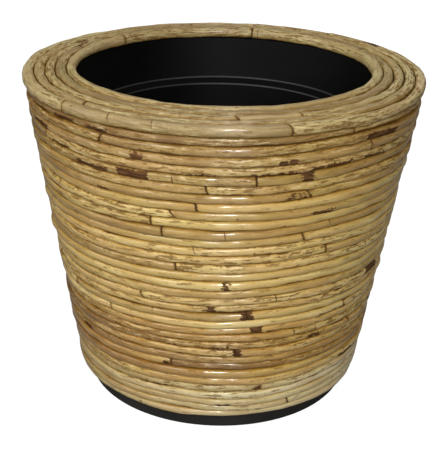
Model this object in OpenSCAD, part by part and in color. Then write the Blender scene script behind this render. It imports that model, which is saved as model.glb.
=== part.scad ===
// Round tapered planter. A black moulded tub holds a black brimmed inner pot.
// Bent lengths of rattan cane are pinned round the tub's wall and on the pot's brim.
// Millimetres, +Z up, origin at the middle of the face that the planter stands on.

/* [Tub] */
// Radius of the tub's wall line at floor level
tub_foot_r = 138; // [115:1:155]
// Lean of the tub's wall out from upright, in degrees
tub_lean = 9; // [5:0.1:12]
// Thickness of the tub's wall
tub_wall = 3.5; // [2.8:0.1:5]
// Thickness of the tub's floor
tub_floor = 4; // [3:0.5:8]
// Radius of the rounded edge round the tub's floor
tub_edge_r = 5; // [2:0.5:10]
// Height of the bare band of tub below the lowest cane
bare_band_h = 19; // [12:0.5:30]

/* [Inner pot] */
// Thickness of the pot's wall
pot_wall = 3; // [2:0.1:5]
// Thickness of the pot's floor
pot_floor = 3.5; // [2:0.5:8]
// Height of the pot's underside above the tub's floor
pot_stand_off = 8; // [2:0.5:30]
// Lean of the pot's wall out from upright, in degrees
pot_lean = 4; // [1:0.1:6]
// Thickness of the brim that carries the rim canes
brim_t = 4; // [3.5:0.5:7]
// Distance that the brim's edge stays inside the tub's outer face
brim_setback = 1; // [0:0.1:2]
// Distance from the inner edge of the rim canes back to the collar's mouth
collar_setback = 1.5; // [0.5:0.5:4]
// Height of the collar between the brim and the stacking shoulder
collar_h = 43; // [20:1:60]
// Radius that the collar loses on its way down
collar_draw = 10; // [2:0.5:14]
// Width of the stacking shoulder
shoulder_w = 9; // [4:0.5:14]
// Height that the stacking shoulder slopes through
shoulder_drop = 5; // [3:0.5:12]
// Height of the rib under the brim that centres the pot in the tub
rib_h = 10; // [5:0.5:20]
// Thickness of the rib under the brim
rib_t = 3; // [2:0.5:5]

/* [Wall canes] */
// Number of courses of cane up the wall
course_count = 35; // [20:1:46]
// Diameter of the cane in the top course, under the rim
top_cane_d = 8; // [6:0.1:12]
// Diameter of the cane in the course below the top one
upper_cane_d = 9.4; // [8:0.1:12]
// Diameter of the cane in the lowest course
lower_cane_d = 7.85; // [5:0.05:9]

/* [Rim canes] */
// Number of rings of cane on the rim
rim_count = 5; // [3:1:6]
// Diameter of a rim cane
rim_cane_d = 10.3; // [8:0.1:12]
// Fall of the rim from the mouth outwards, in degrees
rim_fall_angle = 5.5; // [0:0.5:10]
// Distance that the outermost rim cane stands out beyond the top course
rim_overhang = 2.9; // [0:0.1:4]

/* [Cut ends] */
// Gap between the two cut ends of a bent cane
butt_gap = 0.6; // [0.5:0.1:2]
// Turn from one course's cut ends to the next course's, in degrees
butt_turn_angle = 137.5; // [90:0.5:170]
// Direction of the top course's cut ends, in degrees from +X
butt_start_angle = 250; // [0:1:359]

/* [Pins] */
// Number of pins through each cane
pins_per_cane = 3; // [2:1:4]
// Distance from a cane's cut end to its first pin
pin_inset = 14; // [8:1:30]
// Diameter of a pin's shank
pin_d = 1.4; // [1:0.1:2]
// Diameter of a pin's head
pin_head_d = 2.6; // [2.2:0.1:4]
// Thickness of a pin's head
pin_head_t = 0.8; // [0.5:0.1:1.5]
// Depth of a pin's head below the cane's surface
pin_sink = 0.5; // [0.2:0.1:1]
// Length of a pin beyond its cane, in what the cane is pinned to
pin_bite = 2.4; // [1.5:0.1:2.5]

/* [Clearances] */
// Gap between a cane or the pot's brim and the face that it lies on
seat_gap = 0.2; // [0.1:0.05:0.4]
// Gap between neighbouring canes
cane_gap = 0.25; // [0.15:0.05:0.5]
// Gap round a pin in its hole
pin_gap = 0.1; // [0.05:0.05:0.2]
// Gap between the pot's rib and the tub's wall
rib_gap = 0.4; // [0.2:0.1:0.8]

/* [Hidden] */
$fn = 96;

function two_digits(i) = str(i < 10 ? "0" : "", i);
function wall_name(i) = str("wall_cane_", two_digits(i));
function rim_name(k) = str("rim_cane_", k);

wall_names = [for (i = [1 : course_count]) wall_name(i)];
rim_names = [for (k = [1 : rim_count]) rim_name(k)];

// Courses count down from the top. Below the top one they thin out evenly.
function course_share(i) = (i - 2) / (course_count - 2);
function lower_course_d(i) = upper_cane_d + (lower_cane_d - upper_cane_d) * course_share(i);
function course_d(i) = i == 1 ? top_cane_d : lower_course_d(i);

// Four tones of cane go down the wall, and a greyer one lies on the rim.
grey_count = 4;
straw_count = 18;
brown_count = 8;
grey_tone = [0.62, 0.53, 0.37];
straw_tone = [0.74, 0.58, 0.31];
brown_tone = [0.60, 0.43, 0.20];
pale_tone = [0.72, 0.62, 0.38];
rim_tone = [0.64, 0.55, 0.38];
black_tone = [0.05, 0.05, 0.06];
steel_tone = [0.35, 0.32, 0.28];
function lower_tone(i) = i <= grey_count + straw_count + brown_count ? brown_tone : pale_tone;
function upper_tone(i) = i <= grey_count ? grey_tone : straw_tone;
function course_tone(i) = i <= grey_count + straw_count ? upper_tone(i) : lower_tone(i);

// Distance of a cane's centre from the tub's wall, square to the wall
function stand_off(i) = course_d(i) / 2 + seat_gap;

// Distance up the wall from one course's centre to that of the course above it
function centre_distance(i) = (course_d(i) + course_d(i - 1)) / 2 + cane_gap;
function stand_off_change(i) = stand_off(i - 1) - stand_off(i);
function climb(i) = sqrt(centre_distance(i) ^ 2 - stand_off_change(i) ^ 2);

// Distance up the wall, from floor level, to a course's centre.
// The underside of the lowest cane is at the top of the bare band.
lowest_centre_z = bare_band_h + lower_cane_d / 2;
lowest_up_wall = (lowest_centre_z + stand_off(course_count) * sin(tub_lean)) / cos(tub_lean);
function up_wall(i) = i == course_count ? lowest_up_wall : up_wall(i + 1) + climb(i + 1);

function course_r(i) = tub_foot_r + up_wall(i) * sin(tub_lean) + stand_off(i) * cos(tub_lean);
function course_z(i) = up_wall(i) * cos(tub_lean) - stand_off(i) * sin(tub_lean);

// The rim falls outwards. The brim's top face touches the top of the top course, so that the
// rim canes lie evenly across both. Points here are [radius, height].
rim_normal = [sin(rim_fall_angle), cos(rim_fall_angle)];
rim_inward = [-cos(rim_fall_angle), sin(rim_fall_angle)];
top_course = [course_r(1), course_z(1)];
brim_touch = top_course + rim_normal * top_cane_d / 2;
brim_drop = brim_t / cos(rim_fall_angle);
function brim_z(r) = brim_touch.y - (r - brim_touch.x) * tan(rim_fall_angle);
function brim_under_z(r) = brim_z(r) - brim_drop;

// The tub's wall ends at the brim's underside. A line that leaves floor level at radius r
// and leans as the wall does ends at wall_end_z(r).
function tub_r(z) = tub_foot_r + z * tan(tub_lean);
tub_wall_across = tub_wall / cos(tub_lean);
function tub_inner_r(z) = tub_r(z) - tub_wall_across;
wall_end_slope = 1 + tan(tub_lean) * tan(rim_fall_angle);
function wall_end_z(r) = (brim_under_z(r) - seat_gap) / wall_end_slope;
tub_outer_top_z = wall_end_z(tub_foot_r);
tub_inner_top_z = wall_end_z(tub_foot_r - tub_wall_across);
brim_r = tub_r(tub_outer_top_z) - brim_setback;

// Rim canes count out from the mouth. The outermost lies on the top course.
rim_pitch = rim_cane_d + cane_gap;
rim_lift = (top_cane_d + rim_cane_d) / 2 + seat_gap;
over_top_course = top_course + rim_normal * rim_lift;
outermost_r = course_r(1) + (top_cane_d - rim_cane_d) / 2 + rim_overhang;
outermost_shift = (over_top_course.x - outermost_r) / cos(rim_fall_angle);
function rim_place(k) = over_top_course + rim_inward * (outermost_shift + (rim_count - k) * rim_pitch);
function rim_r(k) = rim_place(k).x;
function rim_z(k) = rim_place(k).y;

collar_r = rim_r(1) - rim_cane_d / 2 + collar_setback;
collar_foot = [collar_r - collar_draw, brim_z(collar_r) - collar_h];
shoulder_foot = collar_foot - [shoulder_w, shoulder_drop];
pot_under_z = tub_floor + pot_stand_off;
pot_floor_z = pot_under_z + pot_floor;
function pot_inner_r(z) = shoulder_foot.x - (shoulder_foot.y - z) * tan(pot_lean);

function angle_of(length, r) = length / r * 180 / PI;
function wall_butt(i) = butt_start_angle + (i - 1) * butt_turn_angle;
function rim_butt(k) = butt_start_angle - k * butt_turn_angle;

// Pins run evenly from one end of a bent cane to the other.
function first_pin(r) = angle_of(pin_inset + butt_gap / 2, r);
function pin_step(r) = (360 - 2 * first_pin(r)) / (pins_per_cane - 1);
function pin_angle(butt, r, n) = butt + first_pin(r) + n * pin_step(r);

// A bent length of cane, open by the butt gap in the direction butt
module bent_cane(r, z, d, butt) {
    open_angle = angle_of(butt_gap, r);
    translate([0, 0, z])
        rotate(butt + open_angle / 2)
            rotate_extrude(angle = 360 - open_angle)
                translate([r, 0])
                    circle(d = d);
}

// A pin driven through a cane of diameter d. The cane's centre is at the origin.
// The head is towards +Z, and gap widens the pin into its own hole.
module pin(d, gap = 0) {
    head_top = d / 2 - pin_sink;
    tip = -d / 2 - seat_gap - pin_bite - gap;
    translate([0, 0, tip])
        cylinder(d = pin_d + 2 * gap, h = head_top - tip);
    translate([0, 0, head_top - pin_head_t - gap])
        cylinder(d = pin_head_d + 2 * gap, h = pin_head_t + gap);
}

// The hole for that pin, open to the cane's surface
module pin_hole(d) {
    pin(d, pin_gap);
    translate([0, 0, d / 2 - pin_sink - pin_head_t])
        cylinder(d = pin_head_d + 2 * pin_gap, h = pin_head_t + 2 * pin_sink);
}

module at_wall_pins(i) {
    for (n = [0 : pins_per_cane - 1])
        rotate(pin_angle(wall_butt(i), course_r(i), n))
            translate([course_r(i), 0, course_z(i)])
                rotate([0, 90 + tub_lean, 0])
                    children();
}

module at_rim_pins(k) {
    for (n = [0 : pins_per_cane - 1])
        rotate(pin_angle(rim_butt(k), rim_r(k), n))
            translate([rim_r(k), 0, rim_z(k)])
                rotate([0, rim_fall_angle, 0])
                    children();
}

module tub_profile() {
    edge_x = tub_foot_r + tub_edge_r * tan(tub_lean) - tub_edge_r / cos(tub_lean);
    edge_end = [edge_x + tub_edge_r * cos(tub_lean), tub_edge_r * (1 - sin(tub_lean))];
    polygon([
        [0, 0],
        [edge_x, 0],
        edge_end,
        [tub_r(tub_outer_top_z), tub_outer_top_z],
        [tub_inner_r(tub_inner_top_z), tub_inner_top_z],
        [tub_inner_r(tub_floor), tub_floor],
        [0, tub_floor]
    ]);
    intersection() {
        translate([edge_x, tub_edge_r])
            circle(r = tub_edge_r);
        translate([edge_x, 0])
            square(2 * tub_edge_r);
    }
}

module tub() {
    color(black_tone)
        difference() {
            rotate_extrude()
                tub_profile();
            for (i = [1 : course_count])
                at_wall_pins(i)
                    pin(course_d(i), pin_gap);
        }
}

module inner_pot_profile() {
    rib_top = tub_inner_r(tub_inner_top_z) - rib_gap;
    rib_low_z = tub_inner_top_z - rib_h;
    rib_low = tub_inner_r(rib_low_z) - rib_gap;
    polygon([
        [0, pot_floor_z],
        [pot_inner_r(pot_floor_z), pot_floor_z],
        shoulder_foot,
        collar_foot,
        [collar_r, brim_z(collar_r)],
        [brim_r, brim_z(brim_r)],
        [brim_r, brim_under_z(brim_r)],
        [rib_top, brim_under_z(rib_top)],
        [rib_low, rib_low_z],
        [rib_low - rib_t, rib_low_z],
        [rib_top - rib_t, brim_under_z(rib_top - rib_t)],
        [collar_r + pot_wall, brim_under_z(collar_r + pot_wall)],
        collar_foot + [pot_wall, 0],
        shoulder_foot + [pot_wall, -pot_wall],
        [pot_inner_r(pot_under_z) + pot_wall, pot_under_z],
        [0, pot_under_z]
    ]);
}

module inner_pot() {
    color(black_tone)
        difference() {
            rotate_extrude()
                inner_pot_profile();
            for (k = [1 : rim_count])
                at_rim_pins(k)
                    pin(rim_cane_d, pin_gap);
        }
}

// The outermost rim cane is pinned into the top course, and the others into the brim.
module wall_cane(i) {
    color(course_tone(i))
        difference() {
            bent_cane(course_r(i), course_z(i), course_d(i), wall_butt(i));
            at_wall_pins(i)
                pin_hole(course_d(i));
            if (i == 1)
                at_rim_pins(rim_count)
                    pin(rim_cane_d, pin_gap);
        }
}

module rim_cane(k) {
    color(rim_tone)
        difference() {
            bent_cane(rim_r(k), rim_z(k), rim_cane_d, rim_butt(k));
            at_rim_pins(k)
                pin_hole(rim_cane_d);
        }
}

module wall_pins() {
    color(steel_tone)
        for (i = [1 : course_count])
            at_wall_pins(i)
                pin(course_d(i));
}

module rim_pins() {
    color(steel_tone)
        for (k = [1 : rim_count])
            at_rim_pins(k)
                pin(rim_cane_d);
}

// The cut ends come closest on the inside of the bend.
function end_gap(r, d) = 2 * (r - d / 2) * sin(angle_of(butt_gap, r) / 2);
wall_end_gaps = [for (i = [1 : course_count]) end_gap(course_r(i), course_d(i))];
rim_end_gaps = [for (k = [1 : rim_count]) end_gap(rim_r(k), rim_cane_d)];

echo(
    overall_diameter = 2 * (outermost_r + rim_cane_d / 2),
    overall_height = rim_z(1) + rim_cane_d / 2,
    mouth_diameter = 2 * (rim_r(1) - rim_cane_d / 2),
    least_gap_of_a_cane_to_itself = min(concat(wall_end_gaps, rim_end_gaps))
);

tub();
inner_pot();
for (i = [1 : course_count])
    wall_cane(i);
for (k = [1 : rim_count])
    rim_cane(k);
wall_pins();
rim_pins();
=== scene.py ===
"""Looks of the rattan planter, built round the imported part. Metres, in the part's own frame."""
import math

import bpy
import numpy as np
from mathutils import Matrix, Vector


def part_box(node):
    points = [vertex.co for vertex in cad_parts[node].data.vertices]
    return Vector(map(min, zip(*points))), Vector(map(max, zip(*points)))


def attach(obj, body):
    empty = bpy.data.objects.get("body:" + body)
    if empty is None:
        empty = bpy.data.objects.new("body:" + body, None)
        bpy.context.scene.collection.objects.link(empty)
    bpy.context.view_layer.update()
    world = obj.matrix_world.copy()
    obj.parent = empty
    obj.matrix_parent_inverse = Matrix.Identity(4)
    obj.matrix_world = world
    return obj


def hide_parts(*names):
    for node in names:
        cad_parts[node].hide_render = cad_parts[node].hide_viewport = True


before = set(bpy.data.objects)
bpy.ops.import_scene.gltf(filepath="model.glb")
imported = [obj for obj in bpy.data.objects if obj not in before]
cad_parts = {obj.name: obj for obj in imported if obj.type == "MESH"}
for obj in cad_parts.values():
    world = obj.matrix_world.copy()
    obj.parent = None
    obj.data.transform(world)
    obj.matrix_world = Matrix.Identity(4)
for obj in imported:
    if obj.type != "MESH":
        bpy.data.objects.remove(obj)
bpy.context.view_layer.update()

MM = 0.001
TURN = 2 * math.pi
SEED = 1038

# The photograph's frame and the camera that was fitted to it
PHOTO_W = 441
PHOTO_H = 450
FOCAL_PX = 1123.57
SENSOR = 36.0
CLIP_END = 100
CAMERA_AT = Vector((0, -1.1, 0.62549))
CAMERA_DOWN = math.radians(22.825)
CAMERA_ROLL = math.radians(1.351)

# Sizes that the part's source sets
COURSES = 35
RINGS = 5
TUB_LEAN = math.radians(9)
RIM_FALL = math.radians(5.5)
BUTT_START = math.radians(250)
BUTT_TURN = math.radians(137.5)
GREY_COURSES = 4
STRAW_COURSES = 18
BROWN_COURSES = 8
POT_WALL = 3 * MM
POT_FLOOR = 3.5 * MM
POT_LEAN = math.radians(4)
BRIM_T = 4 * MM
COLLAR_SETBACK = 1.5 * MM
COLLAR_H = 43 * MM
COLLAR_DRAW = 10 * MM
SHOULDER_W = 9 * MM
SHOULDER_DROP = 5 * MM

# Cut ends that the photograph shows on the wall: x, y in its pixels, and how far the cut
# leans to the right on its way down, per height
WALL_CUTS = (
    (206.5, 190.5, 0.3), (196, 207.5, 0.2), (172.5, 216, 0.9), (150.5, 221, 0.1),
    (162, 231.5, 0.15), (98.5, 136, -0.5), (256.9, 183, 0.1), (304, 238, 0.4),
    (325.8, 250, 0.1), (372, 144, 0.1), (357.3, 130, 0.2),
    (141, 292, 0.7), (110, 303.7, 0.3), (77, 279.3, 0.1), (175.5, 266.5, 0.2),
    (344, 302.5, 0), (348.5, 317.5, 0.6), (247, 318, 0.1), (261, 385.5, 0.1),
    (369.6, 270.4, -0.4), (235.7, 355, 0.3), (171, 364, 0.1), (46, 132, 0.2),
    (288, 399, 0.3), (310.5, 195, 0.7),
)
# Nodes of the cane, as thin dark scars, in the same terms
WALL_NODES = (
    (161.4, 176.5, 0.1), (171.6, 177.8, 0.1), (194.7, 253.3, 0.5), (312.5, 284, 0.8),
    (294, 333.5, 0.2), (294, 386.5, 0.2), (211.5, 310, 0.2), (315, 331.5, 0.1),
    (136, 155.5, 0.3), (257, 332, 0.1), (98, 182, 0.2),
    (152, 310, 0.1), (343.5, 349.5, 0.5), (226, 286.5, 0.2), (364, 248, 0.2),
    (120, 262, 0.2), (225, 241, 0.2), (88, 243, 0.1), (182, 292, 0.3), (276, 300, 0.2),
    (330, 226, 0.1), (146, 176.5, 0.2), (128, 330, 0.2), (205, 372, 0.2),
)
# Patches of bark that were left on: x from, x to and y, how solid the patch is, and how far up
# the cane's face it comes from below
BARK_PATCHES = (
    (77, 105, 167, 0.9, 0.55), (117, 145, 175.3, 1.0, 0.8), (130, 141, 155, 0.7, 1.0),
    (35, 46, 125, 0.8, 0.6), (280, 290, 157.5, 0.9, 0.5), (291, 299, 157.5, 0.9, 0.6),
    (303, 313, 177, 1.0, 0.9), (314, 352, 169.5, 0.8, 0.45), (370, 396, 134, 0.8, 0.7),
    (238, 264, 172, 0.55, 0.5), (298, 312, 196, 0.52, 0.8), (310, 337, 215.5, 0.6, 0.6),
    (206, 214, 310, 0.8, 0.9), (221, 231, 287, 0.8, 0.9), (203, 232, 349.5, 0.6, 0.6),
    (140, 180, 341, 0.6, 0.5), (252, 260, 332.5, 1.0, 1.0), (242, 252, 318, 1.0, 1.0),
    (309, 320, 333, 0.8, 0.7), (366, 373, 270, 0.9, 1.0), (130, 165, 382, 0.7, 0.4),
    (338, 350, 350, 0.7, 0.7), (365, 386, 158, 0.7, 0.5), (255, 302, 176.5, 0.55, 0.5),
    (234, 239, 354.5, 1.0, 0.9), (212, 236, 401, 0.5, 0.6), (162, 172, 364, 0.7, 0.6),
    (253, 261, 385.5, 0.8, 0.7), (268, 288, 326.5, 0.8, 0.35), (50, 66, 143, 0.7, 0.4),
    (120, 140, 218, 0.5, 0.5), (84, 92, 326, 0.8, 0.7), (320, 344, 311, 0.8, 0.3),
    (96, 110, 182, 0.7, 0.4), (52, 70, 121, 0.8, 0.6), (84, 105, 128, 0.7, 0.6),
    (172, 214, 168, 0.55, 0.3), (284, 300, 197, 0.47, 0.9), (278, 300, 222, 0.5, 0.6),
)
# Lengths whose tone stands out: x, y of a point on one, and its tone from 0, dark, to 1, pale
TONES = (
    (125, 137, 0.28), (160, 216, 0.72), (185, 222, 0.42), (120, 221, 0.3), (215, 267, 0.7),
    (150, 267, 0.36), (330, 285, 0.5), (300, 302, 0.66), (370, 318, 0.25), (330, 318, 0.6),
    (230, 318, 0.4), (300, 386, 0.75), (230, 386, 0.4), (240, 208, 0.68), (170, 208, 0.5),
    (345, 232, 0.74), (345, 242, 0.76), (340, 259, 0.76), (335, 276, 0.78), (320, 293, 0.80),
)
# Cut ends and nodes on the rim, in the same terms
RIM_CUTS = (
    (236, 114.5, 0.5), (70, 100, 0.3), (88.5, 101, 0.3), (294.5, 130.5, 0.7), (302.5, 114.5, 0.4),
    (398, 92, 0.2), (120, 35, 0.2), (330, 33, 0.2),
)
RIM_NODES = (
    (249, 109.5, 0.3), (175, 117, 0.2), (112, 112.5, 0.3), (352, 104, 0.3), (140, 130, 0.2),
    (45, 78, 0.2), (408, 72, 0.2), (220, 26, 0.2), (280, 33, 0.2), (150, 26, 0.3),
)

# The sine of a direction round the axis is below this on the photograph's side
SEEN_BELOW = -0.1
# What the other side gets at random: leans by mean and spread, patches by their mean number, and
# the rest from a range, that of the places as a share of the half turn
UNSEEN_SPAN = (0.02, 0.98)
CUT_LEAN = (0.1, 0.3)
NODE_LEAN = (0.1, 0.25)
NODES_BEHIND = (1, 3)
BARKY_SLOTS = ("rattan_grey", "rattan_brown")
BARKY_PATCHES = 1.6
USUAL_PATCHES = 0.7
PATCH_HALF_MM = (4, 18)
PATCH_DEPTH = (0.5, 1)
PATCH_COVER = (0.35, 1)

# Section of the canes and the rings of points along them
SIDES = 20
RING_STEP = 2.6 * MM
LEAST_STEP = 0.12 * MM
LEAST_RINGS = 6
WALL_SQUARE = 2.8
RIM_SQUARE = 2.7
OVAL = 0.012
LOBES = 0.008
# Cut ends
END_STEPS = (0, 0.25 * MM, 0.7 * MM, 1.3 * MM, 2.0 * MM)
END_ROUND = 1.3 * MM
END_DROP = 0.18
END_DOME = 0.12
CUT_REACH = (4.0 * MM, 0.2 * MM)
CUT_GAP = 0.6 * MM
CUT_JAG = 0.25 * MM
JAG_REACH = 3 * MM
SHEAR_REACH = 14 * MM
SHORTEST = 4 * CUT_GAP
# Nodes: a swelling with a nick round it, as shares of the radius, and a scar worn unevenly
NODE_STEP = 0.4 * MM
NODE_REACH = 2.2 * MM
NODE_SWELL = 0.030
NODE_SWELL_W = 2.0 * MM
NODE_NICK = 0.02
NODE_NICK_W = 0.5 * MM
SCAR_W = 0.9 * MM
SCAR_MEAN = 0.6
SCAR_SWING = 0.4
# Wander of the grooves between canes
WANDER_WAVES = 7
WALL_WANDER = 1.0 * MM
RIM_WANDER = 0.45 * MM
WANDER_TURN = 0.55
FINE_ORDERS = np.arange(10, 38, 3)
FINE_WANDER = 0.06 * MM
OUTER_SHARE = 0.3
# How lengths differ: where the texture starts, at most, then mean and spread of a share, and how
# many waves there are along a length, with the longest and the shortest
TEXTURE_SPAN = 40
THICKNESS = (0.010, 0.024)
TAPER = (0, 0.02)
SWELL = 0.018
SWELL_WAVES = (5, 0.20, 0.02)
OUT_WANDER = 0.25 * MM
OUT_WAVES = (4, 0.35, 0.05)
# Edges of the bark patches
BARK_SPREAD = 1.5 * MM
BARK_RISE = 0.1
BARK_FACE = (-0.7, 0.1)
BARK_SOFT_ALONG = 8 * MM
BARK_SOFT_ACROSS = 3 * MM
# Margin of a row of the UV map, and radius of a cut end in its cell there, as shares
UV_MARGIN = 0.04
CAP_SHARE = 0.4

# Tone of a length
MIDDLE_TONE = 0.56
STRAW_FADE = 0.55
TONE_SPREAD = 0.10
TONE_LIMITS = (0.2, 0.85)
# Painted light and shade: how much the tone of each kind of cane is raised or lowered round the object,
# and how often
PAINTED_LIGHT_FADES = {
    "rattan_rim": (0.09, 2), "rattan_grey": (0.09, 1), "rattan_straw": (0.08, 1),
    "rattan_brown": (0.24, 1), "rattan_pale": (0.36, 1),
}
# How rough a length of each kind of cane can be, from 0, smooth, to 1
GRAIN_SPAN = {
    "rattan_rim": (0.5, 1.0), "rattan_grey": (0.45, 1.0), "rattan_straw": (0.2, 0.85),
    "rattan_brown": (0.25, 0.80), "rattan_pale": (0.1, 0.6),
}


def camera_turn():
    """Rotation of the camera: level along +Y, pitched down and rolled."""
    pitch = Matrix.Rotation(math.pi / 2 - CAMERA_DOWN, 3, "X")
    return pitch @ Matrix.Rotation(CAMERA_ROLL, 3, "Z")


def make_camera():
    """The photograph's camera."""
    data = bpy.data.cameras.new("camera")
    data.sensor_width = SENSOR
    data.lens = FOCAL_PX / max(PHOTO_W, PHOTO_H) * SENSOR
    data.clip_end = CLIP_END
    camera = bpy.data.objects.new("camera", data)
    camera.matrix_world = Matrix.Translation(CAMERA_AT) @ camera_turn().to_4x4()
    bpy.context.scene.collection.objects.link(camera)
    bpy.context.scene.camera = camera


def pixel_ray(x, y):
    """Direction from the camera through a pixel of the photograph."""
    return camera_turn() @ Vector(((x - PHOTO_W / 2) / FOCAL_PX, (PHOTO_H / 2 - y) / FOCAL_PX, -1))


def smooth(low, high, value):
    """0 at low, 1 at high, and a smooth step between them."""
    t = np.clip((value - low) / (high - low), 0, 1)
    return t * t * (3 - 2 * t)


def hump(away, width):
    """1 in the middle, falling off to both sides."""
    return np.exp(-((away / width) ** 2))


def wave(s, rng, waves, longest, shortest):
    """A smooth random curve of s, of about unit size."""
    total = np.zeros_like(s)
    for length in np.geomspace(longest, shortest, waves):
        total += math.sqrt(2 / waves) * np.cos(TURN * s / length + rng.uniform(0, TURN))
    return total


class Grooves:
    """The lines between neighbouring canes. Each wanders a little, much as the next one does."""

    def __init__(self, count, size, rng):
        self.last = count
        self.orders = np.arange(1, WANDER_WAVES + 1)
        self.size = size / np.sqrt(self.orders)
        steps = rng.normal(0, WANDER_TURN, (count + 1, WANDER_WAVES))
        self.phase = rng.uniform(0, TURN, WANDER_WAVES) + np.cumsum(steps, axis=0)
        self.fine_phase = rng.uniform(0, TURN, (count + 1, len(FINE_ORDERS)))

    def shift(self, line, angle):
        """How far a line wanders towards the first one, at directions round the axis."""
        turned = np.multiply.outer(angle, FINE_ORDERS) + self.fine_phase[line]
        fine = FINE_WANDER * np.sum(np.cos(turned), axis=-1)
        if line in (0, self.last):
            return OUTER_SHARE * fine
        turned = np.multiply.outer(angle, self.orders) + self.phase[line]
        return fine + np.sum(self.size * np.cos(turned), axis=-1)


class Run:
    """One course or ring of cane: where its CAD node is, and which way its face points.

    face is the angle of that direction above level: just below level on the wall, and up on the rim.
    """

    def __init__(self, node, number, face, slot, grooves):
        low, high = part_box(node)
        self.node = node
        self.number = number
        self.face = face
        self.slot = slot
        self.grooves = grooves
        self.square = RIM_SQUARE if slot == "rattan_rim" else WALL_SQUARE
        # Painted light and shade round the object
        self.fade, self.fade_turns = PAINTED_LIGHT_FADES[slot]
        self.radius = (high.z - low.z) / 2
        self.z = (high.z + low.z) / 2
        self.bend = (high.x - low.x) / 2 - self.radius
        self.cuts = []
        self.nodes = []
        self.bark = []
        self.tones = []

    def crest(self):
        """Radius and height of the line along the middle of the cane's face."""
        return (
            self.bend + self.radius * math.cos(self.face),
            self.z + self.radius * math.sin(self.face),
        )


def slot_of_course(number):
    """The kind of cane in a wall course, counted from the top."""
    if number <= GREY_COURSES:
        return "rattan_grey"
    if number <= GREY_COURSES + STRAW_COURSES:
        return "rattan_straw"
    if number <= GREY_COURSES + STRAW_COURSES + BROWN_COURSES:
        return "rattan_brown"
    return "rattan_pale"


def wall_runs(rng):
    """The courses of the wall, from the top down."""
    grooves = Grooves(COURSES, WALL_WANDER, rng)
    return [
        Run("wall_cane_%02d" % i, i, -TUB_LEAN, slot_of_course(i), grooves)
        for i in range(1, COURSES + 1)
    ]


def rim_runs(rng):
    """The rings of the rim, from the mouth outwards."""
    grooves = Grooves(RINGS, RIM_WANDER, rng)
    return [
        Run("rim_cane_%d" % k, k, math.pi / 2 - RIM_FALL, "rattan_rim", grooves)
        for k in range(1, RINGS + 1)
    ]


def wall_hit(runs, x, y):
    """The wall course that a pixel shows, and the direction of that point round the axis."""
    crests = np.array([run.crest() for run in runs])
    slope, start = np.polyfit(crests[:, 1], crests[:, 0], 1)
    ray = pixel_ray(x, y)
    at = CAMERA_AT
    wide = start + slope * at.z
    a = ray.x ** 2 + ray.y ** 2 - (slope * ray.z) ** 2
    b = 2 * (at.x * ray.x + at.y * ray.y - wide * slope * ray.z)
    c = at.x ** 2 + at.y ** 2 - wide ** 2
    far = float((-b - math.sqrt(max(b * b - 4 * a * c, 0))) / (2 * a))
    point = at + far * ray
    run = runs[int(np.argmin(np.abs(crests[:, 1] - point.z)))]
    return run, math.atan2(point.y, point.x) % TURN


def rim_hit(runs, x, y):
    """The rim ring that a pixel shows, and the direction of that point round the axis."""
    ray = pixel_ray(x, y)
    hits = []
    for run in runs:
        wide, top = run.crest()
        point = CAMERA_AT + ray * ((top - CAMERA_AT.z) / ray.z)
        away = abs(wide - math.hypot(point.x, point.y))
        hits.append((away, run, math.atan2(point.y, point.x) % TURN))
    return min(hits, key=lambda hit: hit[0])[1:]


def mark_from_photo(walls, rims):
    """Puts the marks that the photograph shows on the courses that they are on."""
    kinds = ((wall_hit, walls, WALL_CUTS, WALL_NODES), (rim_hit, rims, RIM_CUTS, RIM_NODES))
    for hit, runs, cuts, nodes in kinds:
        for x, y, lean in cuts:
            run, angle = hit(runs, x, y)
            run.cuts.append((angle, lean))
        for x, y, lean in nodes:
            run, angle = hit(runs, x, y)
            run.nodes.append((angle, lean))
    for x0, x1, y, depth, cover in BARK_PATCHES:
        run, middle = wall_hit(walls, (x0 + x1) / 2, y)
        half = abs(wall_hit(walls, x1, y)[1] - wall_hit(walls, x0, y)[1]) / 2
        run.bark.append((middle, half, depth, cover))
    for x, y, tone in TONES:
        run, angle = wall_hit(walls, x, y)
        run.tones.append((angle, tone))


def faces_camera(angle):
    """Whether a point of the wall in this direction is on the photograph's side."""
    return math.sin(angle) < SEEN_BELOW


def mark_unseen(run, rng):
    """Gives the side away from the camera marks like those of the seen side."""
    def behind():
        return rng.uniform(*UNSEEN_SPAN) * math.pi

    butt = (BUTT_START + (run.number - 1) * BUTT_TURN) % TURN
    run.cuts.append((behind() if faces_camera(butt) else butt, rng.normal(*CUT_LEAN)))
    for _ in range(rng.integers(*NODES_BEHIND)):
        run.nodes.append((behind(), rng.normal(*NODE_LEAN)))
    patches = BARKY_PATCHES if run.slot in BARKY_SLOTS else USUAL_PATCHES
    for _ in range(rng.poisson(patches)):
        half = rng.uniform(*PATCH_HALF_MM) * MM / run.bend
        run.bark.append((behind(), half, rng.uniform(*PATCH_DEPTH), rng.uniform(*PATCH_COVER)))


def lengths_of(run):
    """The lengths of cane in a course: the first and last direction of each and its ends' leans."""
    cuts = sorted(run.cuts)
    after = cuts[1:] + [(cuts[0][0] + TURN, cuts[0][1])]
    half = CUT_GAP / 2 / run.bend
    return [
        (a + half, b - half, lean_a, lean_b)
        for (a, lean_a), (b, lean_b) in zip(cuts, after)
        if (b - a) * run.bend > SHORTEST
    ]


def within(angle, first, last):
    """angle, turned by whole turns to lie between first and last, or None."""
    turned = first + (angle - first) % TURN
    return turned if turned <= last else None


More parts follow.
